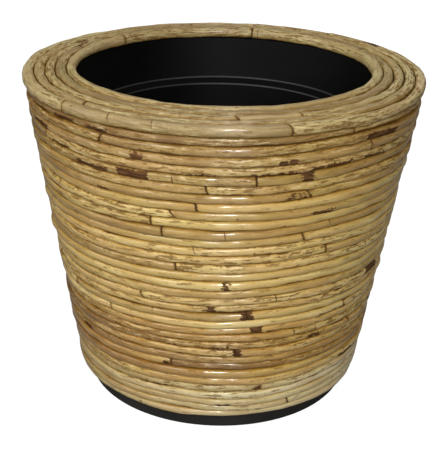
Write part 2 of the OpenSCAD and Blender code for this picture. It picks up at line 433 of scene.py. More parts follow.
def stations(length, nodes, radius):
    """Distances along a length at which it gets a ring of points, closer at its ends and nodes."""
    steps = [np.linspace(0, length, max(LEAST_RINGS, round(length / RING_STEP)))]
    steps += [np.array(END_STEPS), length - np.array(END_STEPS)]
    for at, lean in nodes:
        reach = NODE_REACH + abs(lean) * radius
        steps.append(np.arange(at - reach, at + reach, NODE_STEP))
    s = np.sort(np.concatenate(steps))
    s = s[(s >= 0) & (s <= length)]
    return s[np.concatenate(([True], np.diff(s) > LEAST_STEP))]


def course_tone(run):
    """Usual tone of a course. The straw ones grow paler downwards."""
    if run.slot != "rattan_straw":
        return MIDDLE_TONE
    return MIDDLE_TONE + STRAW_FADE * ((run.number - GREY_COURSES) / STRAW_COURSES - 0.5)


def length_tone(run, first, last, rng):
    """Tone of a length: about its course's, or the one that the photograph shows."""
    tone = float(np.clip(rng.normal(course_tone(run), TONE_SPREAD), *TONE_LIMITS))
    for angle, seen in run.tones:
        if within(angle, first, last) is not None:
            tone = seen
    return tone


def length_form(run, first, last, leans, rng):
    """Everything about one length of cane that its points follow."""
    length = (last - first) * run.bend
    nodes = []
    for angle, lean in run.nodes:
        at = within(angle, first, last)
        if at is not None:
            nodes.append(((at - first) * run.bend, lean))
    s = stations(length, nodes, run.radius)
    return {
        "first": first,
        "last": last,
        "leans": leans,
        "length": length,
        "nodes": nodes,
        "s": s,
        "offset": rng.uniform(0, TEXTURE_SPAN),
        "tone": length_tone(run, first, last, rng),
        "thick": rng.normal(*THICKNESS),
        "taper": rng.normal(*TAPER),
        "swell": wave(s, rng, *SWELL_WAVES),
        "out": wave(s, rng, *OUT_WAVES),
        "jag": rng.normal(0, CUT_JAG, (2, SIDES)),
        "oval": rng.uniform(0, TURN, 2),
        "grain": rng.uniform(*GRAIN_SPAN[run.slot]),
    }


def plan_uv(run, forms):
    """Folds the whole course's surface into even rows, so that it fills a square."""
    total = sum(form["length"] for form in forms)
    rows = max(1, round(math.sqrt(total / (TURN * run.radius))))
    start = 0
    for n, form in enumerate(forms):
        form.update(uv_rows=rows, uv_row=total / rows, uv_start=start, uv_cap=2 * n)
        start += form["length"]


def section(run, form, s, phi):
    """The cane's section: a squared circle that swells along it, and soft lobes to add to that."""
    along = s / form["length"] - 0.5
    size = 1 + form["thick"] + form["taper"] * along + SWELL * form["swell"][:, None]
    power = run.square
    squared = (np.abs(np.cos(phi)) ** power + np.abs(np.sin(phi)) ** power) ** (-1 / power)
    lobes = OVAL * np.cos(2 * phi + form["oval"][0]) + LOBES * np.cos(3 * phi + form["oval"][1])
    return squared * size, lobes


def node_shape(form, s, phi, radius):
    """How the nodes raise the surface, as a share of the radius, and their dark scar lines."""
    raised = np.zeros_like(s + phi)
    scar = np.zeros_like(raised)
    for at, lean in form["nodes"]:
        away = s - at + lean * radius * np.sin(phi)
        raised += NODE_SWELL * hump(away, NODE_SWELL_W) - NODE_NICK * hump(away, NODE_NICK_W)
        worn = SCAR_MEAN + SCAR_SWING * np.cos(phi - at / NODE_REACH)
        scar = np.maximum(scar, worn * hump(away, SCAR_W))
    return raised, scar


def bark_field(run, form, s, phi):
    """How far inside a bark patch a point lies: 0.5 on its edge, before the material breaks that up."""
    field = np.zeros_like(s + phi)
    rise = (1 + np.sin(phi)) / 2
    for angle, half, depth, cover in run.bark:
        for turn in (-TURN, 0, TURN):
            at = (angle + turn - form["first"]) * run.bend
            along = (half * run.bend + BARK_SPREAD - np.abs(s - at)) / BARK_SOFT_ALONG
            across = (cover + BARK_RISE - rise) * 2 * run.radius / BARK_SOFT_ACROSS
            field = np.maximum(field, depth * np.clip(0.5 + 0.5 * np.minimum(along, across), 0, 1))
    return field * smooth(*BARK_FACE, np.cos(phi))


def groove_side(run, phi):
    """-1 and 1 in the grooves on either side of a cane, 0 on its face.

    The two free sides of the rim have no groove.
    """
    side = np.sin(phi)
    free = (1 - np.cos(phi)) / 2
    if run.slot == "rattan_rim" and run.number == 1:
        return np.where(side > 0, free, side)
    if run.slot == "rattan_rim" and run.number == RINGS:
        return np.where(side < 0, -free, side)
    return side


def end_profile(s, length):
    """Share of the full radius near a rounded cut end, and how near the end is."""
    near = np.minimum(s, length - s)
    left = np.clip(1 - near / END_ROUND, 0, 1)
    return 1 - END_DROP * (1 - np.sqrt(1 - left ** 2)), smooth(*CUT_REACH, near)


def end_shift(run, form, s, phi):
    """How far the points near a cut end move along the cane, for its lean and its ragged edge."""
    shift = 0
    for lean, jag, near in zip(form["leans"], form["jag"], (s, form["length"] - s)):
        shift = shift + lean * run.radius * np.sin(phi) * np.clip(1 - near / SHEAR_REACH, 0, 1)
        shift = shift + jag * np.clip(1 - near / JAG_REACH, 0, 1)
    return shift


class CaneMesh:
    """Points, faces and attributes of a whole course, gathered length by length."""

    def __init__(self):
        self.values = {"points": [], "cane": [], "mark": [], "tone": []}
        self.quads = []
        self.tris = []
        self.quad_uv = []
        self.tri_uv = []
        self.count = 0

    def add_points(self, **values):
        """Adds points and what the material reads at them, and returns the first one's number."""
        for name, vectors in values.items():
            self.values[name].append(vectors.reshape(-1, 3))
        first = self.count
        self.count += len(self.values["points"][-1])
        return first


def placed(run, side, out, radius, phi, turn):
    """Points of a cane that lies off its course by side and out, in the part's frame."""
    level, up = math.cos(run.face), math.sin(run.face)
    rho = run.bend + out * level - side * up + radius * np.cos(phi + run.face)
    z = run.z + out * up + side * level + radius * np.sin(phi + run.face)
    return np.stack([rho * np.cos(turn), rho * np.sin(turn), z], axis=-1)


def add_length(mesh, run, form):
    """Adds one length of cane: its surface, its two cut ends and what the material reads there."""
    s = form["s"][:, None]
    phi = np.linspace(0, TURN, SIDES, endpoint=False)[None, :]
    angle = form["first"] + form["s"] / run.bend
    upper = run.grooves.shift(run.number - 1, angle)
    lower = run.grooves.shift(run.number, angle)
    half = run.radius + (upper - lower) / 2
    ends, cut = end_profile(s, form["length"])
    full, lobes = section(run, form, s, phi)
    raised, scar = node_shape(form, s, phi, run.radius)
    radius = half[:, None] * (full * ends + lobes + raised)
    side = ((upper + lower) / 2)[:, None]
    out = (half - run.radius)[:, None] + OUT_WANDER * form["out"][:, None]
    turn = angle[:, None] - end_shift(run, form, s, phi) / run.bend
    points = placed(run, side, out, radius, phi, turn)
    flat = np.zeros_like(radius)
    cane = np.stack([flat + s + form["offset"], radius * np.cos(phi), radius * np.sin(phi)], axis=-1)
    mark = np.stack([bark_field(run, form, s, phi), scar, flat + cut], axis=-1)
    # Painted light and shade round the object, added to each length's tone
    shade = form["tone"] + run.fade * np.cos(run.fade_turns * angle)[:, None]
    tone = np.stack([flat + shade, flat + groove_side(run, phi), flat + form["grain"]], axis=-1)
    first = mesh.add_points(points=points, cane=cane, mark=mark, tone=tone)
    add_tube_faces(mesh, first, form)
    add_cap(mesh, run, form, points, cane, first, 0)
    add_cap(mesh, run, form, points, cane, first + (len(form["s"]) - 1) * SIDES, -1)


def add_tube_faces(mesh, first, form):
    """Joins the rings of a length with faces."""
    rings = len(form["s"])
    k, j = np.meshgrid(np.arange(rings - 1), np.arange(SIDES), indexing="ij")
    a = first + k * SIDES + j
    b = first + k * SIDES + (j + 1) % SIDES
    mesh.quads.append(np.stack([a, a + SIDES, b + SIDES, b], axis=-1).reshape(-1, 4))
    mesh.quad_uv.append(tube_uv(form))


def tube_uv(form):
    """Places of a length's faces in the rows of the UV map."""
    at = form["uv_start"] + form["s"][:-1]
    row = np.minimum(at // form["uv_row"], form["uv_rows"] - 1)
    width = form["uv_row"] + 2 * RING_STEP
    u0 = (at - row * form["uv_row"]) / width
    u1 = u0 + np.diff(form["s"]) / width
    used = 1 - 2 * UV_MARGIN
    v0 = (row[:, None] + UV_MARGIN + used * np.arange(SIDES) / SIDES) / (form["uv_rows"] + 1)
    v1 = v0 + used / SIDES / (form["uv_rows"] + 1)
    u0, u1 = (u[:, None] + 0 * v0 for u in (u0, u1))
    corners = ((u0, v0), (u1, v0), (u1, v1), (u0, v1))
    return np.stack([np.stack(corner, axis=-1) for corner in corners], axis=2).reshape(-1, 4, 2)


def add_cap(mesh, run, form, points, cane, ring, end):
    """Closes a cut end, the first for end 0 and the last for -1, with a slightly domed fan of faces."""
    angle = form["last"] if end else form["first"] + math.pi
    outwards = np.array([-math.sin(angle), math.cos(angle), 0])
    middle = points[end].mean(axis=0) + END_DOME * run.radius * outwards
    tip = mesh.add_points(
        points=middle,
        cane=cane[end].mean(axis=0),
        mark=np.array([0, 0, 1.0]),
        tone=np.array([form["tone"], 0, form["grain"]]),
    )
    j = np.arange(SIDES)
    order = (j, j + 1) if end == 0 else (j + 1, j)
    a, b = (ring + n % SIDES for n in order)
    mesh.tris.append(np.stack([a, b, np.full(SIDES, tip)], axis=-1))
    cell = 1 / (form["uv_rows"] + 1)
    centre = np.array([cell * (0.5 + form["uv_cap"] - end), 1 - cell / 2])
    angles = [TURN / SIDES * n for n in order]
    edge = [centre + CAP_SHARE * cell * np.stack([np.cos(q), np.sin(q)], axis=-1) for q in angles]
    mesh.tri_uv.append(np.stack([*edge, np.broadcast_to(centre, (SIDES, 2))], axis=1))


def set_vectors(data, name, values):
    """Stores three numbers for each point, for the material to read."""
    layer = data.attributes.new(name, "FLOAT_VECTOR", "POINT")
    layer.data.foreach_set("vector", np.ascontiguousarray(values, dtype=np.float32).ravel())


def new_mesh(name, points, quads, tris):
    """A mesh of points, faces of four and faces of three."""
    data = bpy.data.meshes.new(name)
    corners = np.concatenate([quads.ravel(), tris.ravel()]).astype(np.int32)
    starts = np.concatenate([np.arange(len(quads)) * 4, len(quads) * 4 + np.arange(len(tris)) * 3])
    data.vertices.add(len(points))
    data.vertices.foreach_set("co", np.ascontiguousarray(points, dtype=np.float32).ravel())
    data.loops.add(len(corners))
    data.loops.foreach_set("vertex_index", corners)
    data.polygons.add(len(starts))
    data.polygons.foreach_set("loop_start", starts.astype(np.int32))
    return data


def add_piece(name, data, material, slot, *nodes):
    """Adds a dressed piece in place of its CAD nodes."""
    piece = bpy.data.objects.new(name, data)
    data.materials.append(material)
    bpy.context.scene.collection.objects.link(piece)
    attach(piece, "root")
    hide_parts(*nodes)


def make_cane(run, material, rng):
    """Builds one course or ring, length by length."""
    forms = [length_form(run, a, b, (la, lb), rng) for a, b, la, lb in lengths_of(run)]
    plan_uv(run, forms)
    mesh = CaneMesh()
    for form in forms:
        add_length(mesh, run, form)
    values = {name: np.concatenate(parts) for name, parts in mesh.values.items()}
    quads, tris = np.concatenate(mesh.quads), np.concatenate(mesh.tris)
    data = new_mesh(run.node + "_cane", values.pop("points"), quads, tris)
    uv = [np.concatenate(part).reshape(-1, 2) for part in (mesh.quad_uv, mesh.tri_uv)]
    layer = data.uv_layers.new(name="OFBake")
    layer.uv.foreach_set("vector", np.concatenate(uv).astype(np.float32).ravel())
    is_smooth = np.concatenate([np.ones(len(quads), bool), np.zeros(len(tris), bool)])
    data.polygons.foreach_set("use_smooth", is_smooth)
    data.update(calc_edges=True)
    for name, vectors in values.items():
        set_vectors(data, name, vectors)
    data.validate()
    add_piece(run.node + "_bent", data, material, run.slot, run.node)


# Colour sockets of a Mix node
MIX_A = 6
MIX_B = 7
MIX_OUT = 2
# How much of the white surroundings a sheen shows
GLOSSY_SHARE = 0.03


class Nodes:
    """The nodes of a material or of the surround, with short ways to add and link them."""

    def __init__(self, tree):
        self.nodes = tree.nodes
        self.links = tree.links

    def add(self, kind, inputs=(), **settings):
        """A new node with its settings and inputs."""
        node = self.nodes.new(kind)
        for key, value in settings.items():
            setattr(node, key, value)
        for key, value in dict(inputs).items():
            self.put(node.inputs[key], value)
        return node

    def put(self, socket, value):
        """Links an output to an input socket, or sets a constant there."""
        if isinstance(value, bpy.types.NodeSocket):
            self.links.new(value, socket)
        else:
            socket.default_value = value

    def math(self, operation, a, b=0.0, c=0.0):
        """The result of a Math node."""
        node = self.add("ShaderNodeMath", {0: a, 1: b, 2: c}, operation=operation)
        return node.outputs[0]

    def step(self, value, low, high):
        """0 at low, 1 at high, with a smooth step between them."""
        limits = {0: value, 1: low, 2: high}
        return self.add("ShaderNodeMapRange", limits, interpolation_type="SMOOTHSTEP").outputs[0]

    def mix(self, share, a, b, blend="MIX"):
        """Colour a, with a share of b blended over it."""
        node = self.add("ShaderNodeMix", data_type="RGBA", blend_type=blend)
        self.put(node.inputs["Factor"], share)
        self.put(node.inputs[MIX_A], a)
        self.put(node.inputs[MIX_B], b)
        return node.outputs[MIX_OUT]

    def attribute(self, name):
        """A mesh attribute of three numbers."""
        return self.add("ShaderNodeAttribute", attribute_name=name).outputs["Vector"]

    def split(self, vector):
        """The three numbers of a vector."""
        return self.add("ShaderNodeSeparateXYZ", {0: vector}).outputs

    def noise(self, vector, scale, detail, rough):
        """Noise with its own scale along each axis of vector."""
        scaled = self.add("ShaderNodeVectorMath", {0: vector, 1: scale}, operation="MULTIPLY").outputs[0]
        inputs = {"Vector": scaled, "Scale": 1.0, "Detail": detail, "Roughness": rough}
        return self.add("ShaderNodeTexNoise", inputs).outputs["Fac"]

    def ramp(self, value, stops):
        """A colour ramp through stops of a place and a colour."""
        node = self.add("ShaderNodeValToRGB", {"Fac": value})
        elements = node.color_ramp.elements
        while len(elements) < len(stops):
            elements.new(1.0)
        for element, (place, colour) in zip(elements, stops):
            element.position = place
            element.color = (*colour, 1)
        return node.outputs["Color"]

    def white_share(self):
        """How white the surroundings are: fully to the camera and through glass, little in a sheen."""
        ray = self.add("ShaderNodeLightPath").outputs
        sheen = self.math("MULTIPLY", ray["Is Glossy Ray"], GLOSSY_SHARE)
        clear = self.math("MAXIMUM", ray["Is Camera Ray"], ray["Is Transmission Ray"])
        return self.math("MAXIMUM", sheen, clear)


class Material(Nodes):
    """A material round its one shader."""

    def __init__(self, name):
        self.material = bpy.data.materials.new(name)
        self.material.use_nodes = True
        super().__init__(self.material.node_tree)
        self.shader = self.nodes["Principled BSDF"]

    def finish(self, inputs):
        """Sets the shader's inputs and returns the finished material."""
        for key, value in inputs.items():
            self.put(self.shader.inputs[key], value)
        return self.material


# Noises in the cane: scale along it and twice across it, per metre, detail and roughness
NOISES = {
    "cloud": ((9, 30, 30), 2.0, 0.5),
    "dirt": ((13, 5, 5), 2.0, 0.5),
    "blotch": ((32, 150, 150), 3.0, 0.6),
    "streak": ((26, 430, 430), 3.0, 0.6),
    "dash": ((75, 520, 520), 2.0, 0.5),
    "speck": ((300, 620, 620), 3.0, 0.6),
}
# Tones of each kind of cane, from its darkest to its palest
TONE_STOPS = (0.0, 0.3, 0.6, 0.85, 1.0)
CANE_TONES = {
    "rattan_rim": (
        (0.12, 0.074, 0.027), (0.22, 0.160, 0.068), (0.335, 0.251, 0.110),
        (0.42, 0.336, 0.170), (0.50, 0.408, 0.235),
    ),
    "rattan_grey": (
        (0.12, 0.063, 0.018), (0.23, 0.142, 0.045), (0.34, 0.220, 0.073),
        (0.44, 0.310, 0.122), (0.53, 0.400, 0.195),
    ),
    "rattan_straw": (
        (0.17, 0.098, 0.026), (0.31, 0.197, 0.057), (0.425, 0.289, 0.093),
        (0.52, 0.375, 0.142), (0.60, 0.465, 0.215),
    ),
    "rattan_brown": (
        (0.13, 0.063, 0.015), (0.255, 0.142, 0.035), (0.40, 0.247, 0.069),
        (0.50, 0.350, 0.124), (0.57, 0.445, 0.197),
    ),
    "rattan_pale": (
        (0.25, 0.155, 0.052), (0.37, 0.265, 0.108), (0.47, 0.362, 0.182),
        (0.55, 0.447, 0.255), (0.61, 0.515, 0.325),
    ),
}
# How much dirt and painted shade the grooves of each kind of cane hold
GROOVE_DIRT_AND_SHADE_BY_KIND = {
    "rattan_rim": 1.0, "rattan_grey": 0.95, "rattan_straw": 1.0, "rattan_brown": 0.7,
    "rattan_pale": 0.95,
}
# How much lacquer each kind of cane has kept
LACQUER = {
    "rattan_rim": 0.35, "rattan_grey": 0.45, "rattan_straw": 0.75, "rattan_brown": 1.0,
    "rattan_pale": 0.6,
}
# Darker deep in the grooves, painted shade with some stain, and round each cut, stain
DEEP_STAIN_AND_SHADE = (0.80, 0.66, 0.34, 1)
# Dirt and painted shade in the grooves
GROOVE_DIRT_AND_SHADE = (0.30, 0.24, 0.14, 1)
# Painted shade on the lower side of each cane
PAINTED_UNDER_SHADE = (0.66, 0.56, 0.36, 1)
BARK_DARK = (0.038, 0.015, 0.007, 1)
BARK_LIGHT = (0.120, 0.054, 0.022, 1)
SCAR = (0.085, 0.042, 0.013, 1)
DASH = (0.150, 0.080, 0.024, 1)
SCUFF = (0.66, 0.54, 0.30, 1)
PINK_TINT = (1.02, 0.98, 0.97, 1)
OLIVE_TINT = (0.98, 1.01, 0.95, 1)
# Where each layer of the cane begins and where it is full
ROUGH_STEP = (0.32, 0.88)
TINT_STEP = (0.38, 0.62)
UNDER_SHADE_STEP = (-0.35, -1.0)
SCUFF_STEP = (0.40, 0.30)
DASH_STEP = (0.62, 0.73)
DIRT_STEP = (0.38, 0.58)
DEEP_STEP = (0.58, 1.0)
GROOVE_STEP = (0.80, 0.98)
DULL_STEP = (0.50, 0.95)
CUT_STEP = (0.10, 0.45)
BARK_STEP = (0.46, 0.54)
BARK_TONE_STEP = (0.40, 0.70)
SCAR_STEP = (0.35, 0.85)
END_STEP = (0.78, 0.98)
# How strong each layer is; a pair is what roughness or dirt adds, and what is there without it
UNDER_SHADE_SHARE = 0.5
SCUFF_SHARE = (0.42, 0.08)
DASH_SHARE = (0.35, 0.50)
DASH_AT_EDGE = 0.06
DASH_AT_ROUGH = 0.10
DIRT_AND_SHADE_SHARE = (0.75, 0.25)
CUT_SHARE = 0.38
BARK_SHARE = 0.95
SCAR_SHARE = 0.85
END_SHARE = 0.80
# Relief and sheen of the cane
RELIEF = (1.3, 0.25)
BARK_RELIEF = 0.7
CANE_BUMP = {"Strength": 0.35, "Distance": 0.30 * MM}
GLOSS_VARIES = 0.14
CANE_ROUGHNESS = 0.40
STAIN_ROUGHNESS = 0.25
COAT_ROUGHNESS = 0.08
CLEAN_SPECULAR = (0.42, 0.06)
ANISOTROPY = 0.85
ANISOTROPY_TURN = 0.25


class Cane(Material):
    """Lacquered cane: streaks, rough stretches, grooves darkened by dirt and painted shade, painted shade
    below, bark and node scars.
    """

    def __init__(self, slot):
        super().__init__(slot)
        self.slot = slot
        cane = self.attribute("cane")
        bark, self.scar, self.cut = self.split(self.attribute("mark"))
        self.tone, self.side, grain = self.split(self.attribute("tone"))
        self.noises = {name: self.noise(cane, *settings) for name, settings in NOISES.items()}
        self.edge = self.math("ABSOLUTE", self.side)
        self.rough = self.step(self.stir(grain, blotch=1.0, cloud=1.2), *ROUGH_STEP)
        self.broken = self.stir(self.noises["dash"], streak=0.4, speck=0.5)
        self.groove = self.stir(self.edge, blotch=0.22, speck=0.16)
        self.barked = self.step(self.stir(bark, blotch=0.60, speck=0.75), *BARK_STEP)
        self.dashed = self.dash_share()
        self.dirt_and_shade = self.dirt_and_shade_share()
        self.scarred = self.scar_share()

    def stir(self, value, **sizes):
        """value, moved up and down by noises of the given sizes."""
        for name, size in sizes.items():
            value = self.math("MULTIPLY_ADD", self.math("SUBTRACT", self.noises[name], 0.5), size, value)
        return value

    def dash_share(self):
        """Dark dashes along the grain, most on rough stretches and towards the grooves."""
        crowded = self.math("MULTIPLY_ADD", self.edge, DASH_AT_EDGE, self.broken)
        crowded = self.math("MULTIPLY_ADD", self.rough, DASH_AT_ROUGH, crowded)
        share = self.math("MULTIPLY_ADD", self.rough, *DASH_SHARE)
        return self.math("MULTIPLY", self.step(crowded, *DASH_STEP), share)

    def dirt_and_shade_share(self):
        """Dirt and painted shade in the grooves, darker in uneven patches."""
        share = self.math("MULTIPLY_ADD", self.step(self.noises["dirt"], *DIRT_STEP), *DIRT_AND_SHADE_SHARE)
        share = self.math("MULTIPLY", share, GROOVE_DIRT_AND_SHADE_BY_KIND[self.slot])
        return self.math("MULTIPLY", self.step(self.groove, *GROOVE_STEP), share)

    def scar_share(self):
        """Dark lines at the nodes and at the cut ends."""
        node = self.step(self.stir(self.scar, blotch=0.9), *SCAR_STEP)
        end = self.step(self.stir(self.cut, speck=0.3), *END_STEP)
        end = self.math("MULTIPLY", end, END_SHARE)
        return self.math("MAXIMUM", self.math("MULTIPLY", node, SCAR_SHARE), end)

    def bare_colour(self):
        """The cane's own tones, pinker or more olive in places, with painted shade darkening them below.
        """
        shade = self.stir(self.tone, cloud=0.5, blotch=0.60, streak=0.75)
        colour = self.ramp(shade, list(zip(TONE_STOPS, CANE_TONES[self.slot])))
        tint = self.mix(self.step(self.noises["cloud"], *TINT_STEP), PINK_TINT, OLIVE_TINT)
        colour = self.mix(1.0, colour, tint, "MULTIPLY")
        # Painted shade: the lower side of each cane darker and browner
        under_shade = self.math("MULTIPLY", self.step(self.side, *UNDER_SHADE_STEP), UNDER_SHADE_SHARE)
        return self.mix(under_shade, colour, PAINTED_UNDER_SHADE, "MULTIPLY")

    def colour(self):
        """The bare colour under scuffs, dashes, stain and painted shade in the grooves, stain round cuts,
        bark and scars.
        """
        share = self.math("MULTIPLY_ADD", self.rough, *SCUFF_SHARE)
        scuffed = self.math("MULTIPLY", self.step(self.broken, *SCUFF_STEP), share)
        colour = self.mix(scuffed, self.bare_colour(), SCUFF)
        colour = self.mix(self.dashed, colour, DASH)
        # Painted shade, with some stain, deep in the grooves
        colour = self.mix(self.step(self.groove, *DEEP_STEP), colour, DEEP_STAIN_AND_SHADE, "MULTIPLY")
        # Dirt and painted shade in the grooves, uneven along them
        colour = self.mix(self.dirt_and_shade, colour, GROOVE_DIRT_AND_SHADE, "MULTIPLY")
        near_cut = self.step(self.stir(self.cut, speck=0.8), *CUT_STEP)
        colour = self.mix(self.math("MULTIPLY", near_cut, CUT_SHARE), colour, DEEP_STAIN_AND_SHADE, "MULTIPLY")
        bark = self.mix(self.step(self.noises["dash"], *BARK_TONE_STEP), BARK_DARK, BARK_LIGHT)
        colour = self.mix(self.math("MULTIPLY", self.barked, BARK_SHARE), colour, bark)
        return self.mix(self.scarred, colour, SCAR)

    def relief(self):
        """Fine relief of the grain and the bark."""
        depth = self.math("MULTIPLY_ADD", self.rough, *RELIEF)
        height = self.math("MULTIPLY_ADD", self.broken, depth, self.noises["streak"])
        height = self.math("MULTIPLY_ADD", self.barked, BARK_RELIEF, height)
        return self.add("ShaderNodeBump", {"Height": height, **CANE_BUMP}).outputs[0]

    def lacquered(self):
        """The whole material. The lacquer shines on clean faces, not on stains or deep in the grooves."""
        stained = self.math("MAXIMUM", self.barked, self.math("MAXIMUM", self.dashed, self.scarred))
        stained = self.math("MAXIMUM", stained, self.dirt_and_shade)
        face = self.math("SUBTRACT", 1.0, self.step(self.edge, *DULL_STEP))
        clean = self.math("MULTIPLY", self.math("SUBTRACT", 1.0, stained), face)
        streaked = self.math("MULTIPLY", self.noises["streak"], GLOSS_VARIES)
        varied = self.math("MULTIPLY_ADD", self.rough, GLOSS_VARIES, streaked)
        rough = self.math("ADD", varied, CANE_ROUGHNESS)
        normal = self.relief()
        return self.finish({
            "Base Color": self.colour(),
            "Roughness": self.math("MULTIPLY_ADD", stained, STAIN_ROUGHNESS, rough),
            "Normal": normal,
            "Specular IOR Level": self.math("MULTIPLY_ADD", clean, *CLEAN_SPECULAR),
            "Anisotropic": ANISOTROPY,
            "Anisotropic Rotation": ANISOTROPY_TURN,
            "Coat Weight": self.math("MULTIPLY", clean, LACQUER[self.slot]),
            "Coat Roughness": self.math("ADD", varied, COAT_ROUGHNESS),
            "Coat Normal": normal,
        })


# Darkest and palest black of the pot, darkened as painted shade inside its hollow, and of the tub,
# lightened as painted light from the floor's bounce
POT_BLACK_PAINTED_SHADE = ((0.0014, 0.0014, 0.0015), (0.0028, 0.0028, 0.003))
TUB_BLACK_PAINTED_LIGHT = ((0.018, 0.0173, 0.016), (0.025, 0.024, 0.0225))
PLASTIC_GRAIN = ((900, 900, 900), 3.0, 0.6)
PLASTIC_CLOUD = ((14, 14, 22), 3.0, 0.55)
PLASTIC_STOPS = (0.3, 0.7)
PLASTIC_ROUGHNESS = (0.10, 0.50)
PLASTIC_BUMP = {"Strength": 0.12, "Distance": 0.15 * MM}
# Edges of the pot: a painted highlight in their colour, and a glossier finish
EDGE_SHINE_REACH = 1.3 * MM
PAINTED_EDGE_HIGHLIGHT = (0.030, 0.0295, 0.029, 1)
EDGE_HIGHLIGHT_SHARE = 0.8
EDGE_ROUGHNESS = -0.25
EDGE_SPECULAR = (0.70, 0.045)


def black_plastic(name, blacks):
    """Moulded black plastic: a satin face with fine grain, and edges with a painted highlight and a
    glossier finish.
    """
    plastic = Material(name)
    where = plastic.add("ShaderNodeTexCoord").outputs["Object"]
    grain = plastic.noise(where, *PLASTIC_GRAIN)
    cloud = plastic.noise(where, *PLASTIC_CLOUD)
    colour = plastic.ramp(cloud, list(zip(PLASTIC_STOPS, blacks)))
    # worn marks the edges that get a painted highlight and a glossier finish
    worn = plastic.split(plastic.attribute("worn"))[0]
    rough = plastic.math("MULTIPLY_ADD", cloud, *PLASTIC_ROUGHNESS)
    bump = plastic.add("ShaderNodeBump", {"Height": grain, **PLASTIC_BUMP})
    return plastic.finish({
        "Base Color": plastic.mix(plastic.math("MULTIPLY", worn, EDGE_HIGHLIGHT_SHARE), colour, PAINTED_EDGE_HIGHLIGHT),
        "Roughness": plastic.math("MULTIPLY_ADD", worn, EDGE_ROUGHNESS, rough),
        "Specular IOR Level": plastic.math("MULTIPLY_ADD", worn, *EDGE_SPECULAR),
        "Normal": bump.outputs[0],
    })


PIN_SPOTS = ((1200, 1200, 1200), 3.0, 0.6)
PIN_TONES = ((0.35, (0.13, 0.075, 0.025)), (0.65, (0.30, 0.195, 0.070)))
PIN_ROUGHNESS = (0.3, 0.40)
PIN_METAL = 0.3
PIN_BUMP = {"Strength": 0.2, "Distance": 0.05 * MM}


def pin_steel():
    """Dull brads under the same brown lacquer as the canes."""
    steel = Material("pin_steel")
    where = steel.add("ShaderNodeTexCoord").outputs["Object"]
    spots = steel.noise(where, *PIN_SPOTS)
    bump = steel.add("ShaderNodeBump", {"Height": spots, **PIN_BUMP})
    return steel.finish({
        "Base Color": steel.ramp(spots, PIN_TONES),
        "Roughness": steel.math("MULTIPLY_ADD", spots, *PIN_ROUGHNESS),
        "Metallic": PIN_METAL,
        "Normal": bump.outputs[0],
    })


LATHE_STEPS = 192
ROUND_STEPS = 6
# Rounding of the pot's corners, inside and then outside
FLOOR_ROUND = 8 * MM
SHOULDER_ROUND = 3.5 * MM
MOUTH_ROUND = 1.2 * MM
BRIM_ROUND = 0.5 * MM
NECK_ROUND = 2 * MM
OUTER_ROUND = 3 * MM
BASE_ROUND = 5 * MM


def rounded(corners):
    """A profile of straight lines through corners, each rounded to its radius, zero for a sharp one."""
    points = []
    for n, (corner, radius) in enumerate(corners):
        if radius == 0:
            points.append(corner)
            continue
        before = (corners[n - 1][0] - corner).normalized()
        after = (corners[(n + 1) % len(corners)][0] - corner).normalized()
        half = before.angle(after) / 2
        reach = radius / math.tan(half)
        middle = corner + (before + after).normalized() * radius / math.sin(half)
        start, end = corner + before * reach - middle, corner + after * reach - middle
        for step in range(ROUND_STEPS + 1):
            share = step / ROUND_STEPS
            arm = (start * (1 - share) + end * share).normalized() * radius
            points.append(middle + arm)
    return points


def lathe_faces(size):
    """Faces of a turned form that has size points on each of its lines, and then its two poles."""
    k, j = np.meshgrid(np.arange(LATHE_STEPS), np.arange(size - 1), indexing="ij")
    here = k * size + j
    following = (k + 1) % LATHE_STEPS * size + j
    quads = np.stack([here, here + 1, following + 1, following], axis=-1).reshape(-1, 4)
    line = np.arange(LATHE_STEPS) * size
    after = np.roll(line, -1)
    pole = np.full(LATHE_STEPS, LATHE_STEPS * size)
    start_fan = np.stack([line, after, pole], axis=-1)
    end_fan = np.stack([after + size - 1, line + size - 1, pole + 1], axis=-1)
    return quads, np.concatenate([start_fan, end_fan])


def lathe(name, profile, edges):
    """A closed turned form from a profile of (radius, height) that starts and ends on the axis.

    edges are the points of the profile round which the surface gets a painted highlight and a glossier
    finish.
    """
    line = np.array([(p.x, p.y) for p in profile[1:-1]])
    turn = np.linspace(0, TURN, LATHE_STEPS, endpoint=False)
    x = np.multiply.outer(np.cos(turn), line[:, 0])
    y = np.multiply.outer(np.sin(turn), line[:, 0])
    z = np.broadcast_to(line[:, 1], x.shape)
    poles = np.array([(0, 0, profile[0].y), (0, 0, profile[-1].y)])
    points = np.concatenate([np.stack([x, y, z], axis=-1).reshape(-1, 3), poles])
    data = new_mesh(name, points, *lathe_faces(len(line)))
    data.polygons.foreach_set("use_smooth", np.ones(len(data.polygons), bool))
    data.update(calc_edges=True)
    near = [min((p - edge).length for edge in edges) for p in profile[1:-1]]
    # worn: where the edges get a painted highlight and a glossier finish
    worn = np.tile(smooth(EDGE_SHINE_REACH, 0, np.array(near)), LATHE_STEPS)
    worn = np.concatenate([worn, np.zeros(len(poles))])
    set_vectors(data, "worn", np.stack([worn, worn, worn], axis=-1))
    data.validate()
    return data


